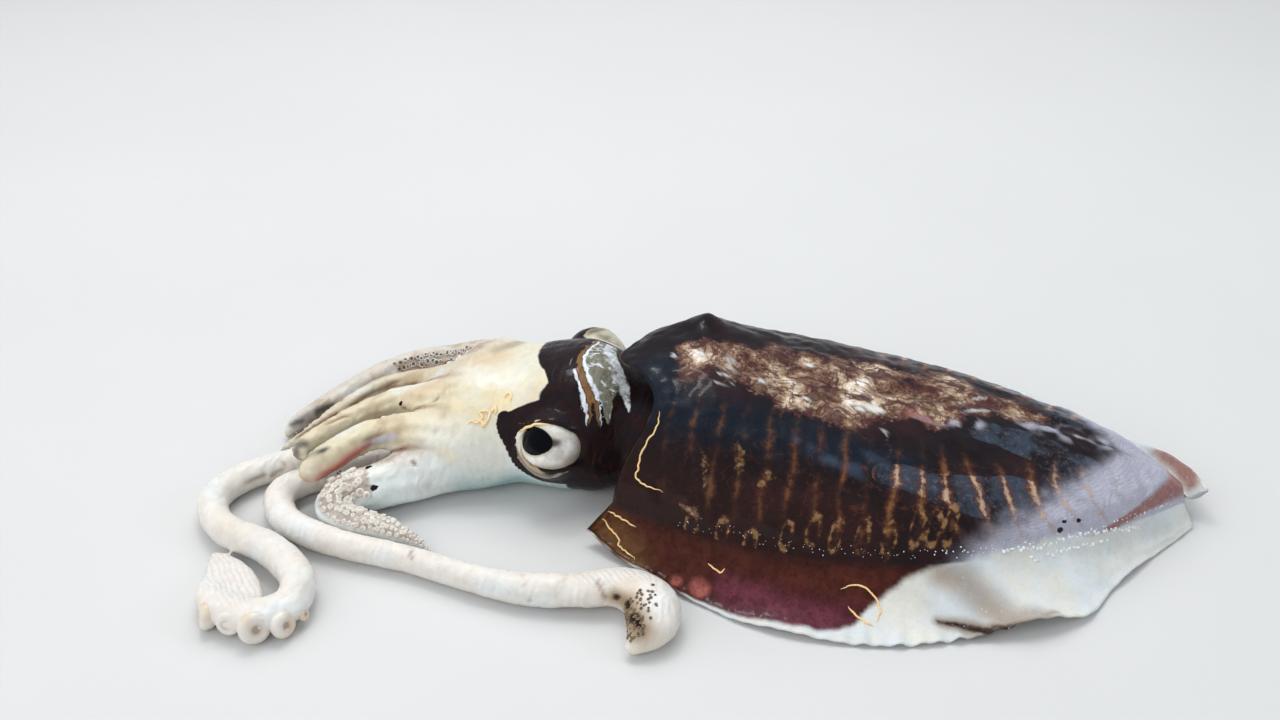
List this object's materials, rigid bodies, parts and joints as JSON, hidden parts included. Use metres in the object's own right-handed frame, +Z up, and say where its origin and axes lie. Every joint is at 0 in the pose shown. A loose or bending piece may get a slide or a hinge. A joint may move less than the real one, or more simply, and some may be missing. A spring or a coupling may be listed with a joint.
{
  "type": "common cuttlefish",
  "caption": "Common cuttlefish lying on its belly, fins spread, with short suckered arms and two long curled feeding tentacles that end in clubs.",
  "frame": {"origin": "on the floor, under the middle of the mantle, in the flat of the belly", "axes": "+X from the head to the tail, +Y to the animal's right, +Z up; one unit is one metre"},
  "size_m": [0.3314, 0.1985, 0.0525],
  "materials": {
    "mantle": "wet, glossy skin",
    "fin": "wet, glossy skin",
    "head": "wet, glossy skin",
    "arm": "wet, glossy skin",
    "tentacle": "wet, glossy skin",
    "eye": "wet eyeball"
  },
  "bodies": {
    "root": {"mantle": "mantle", "fin_left": "fin", "fin_right": "fin", "neck": "head", "head": "head", "funnel": "head", "eye_left": "eye", "eye_right": "eye", "arm_left_1": "arm", "arm_left_2": "arm", "arm_left_3": "arm", "arm_left_4": "arm", "arm_left_4_tip": "arm", "arm_right_1": "arm", "arm_right_2": "arm", "arm_right_3": "arm", "arm_right_4": "arm", "tentacle_left_1": "tentacle", "tentacle_left_2": "tentacle", "tentacle_left_3": "tentacle", "tentacle_left_club": "tentacle", "tentacle_right_1": "tentacle", "tentacle_right_2": "tentacle", "tentacle_right_3": "tentacle", "tentacle_right_club": "tentacle"}
  },
  "joints": []
}
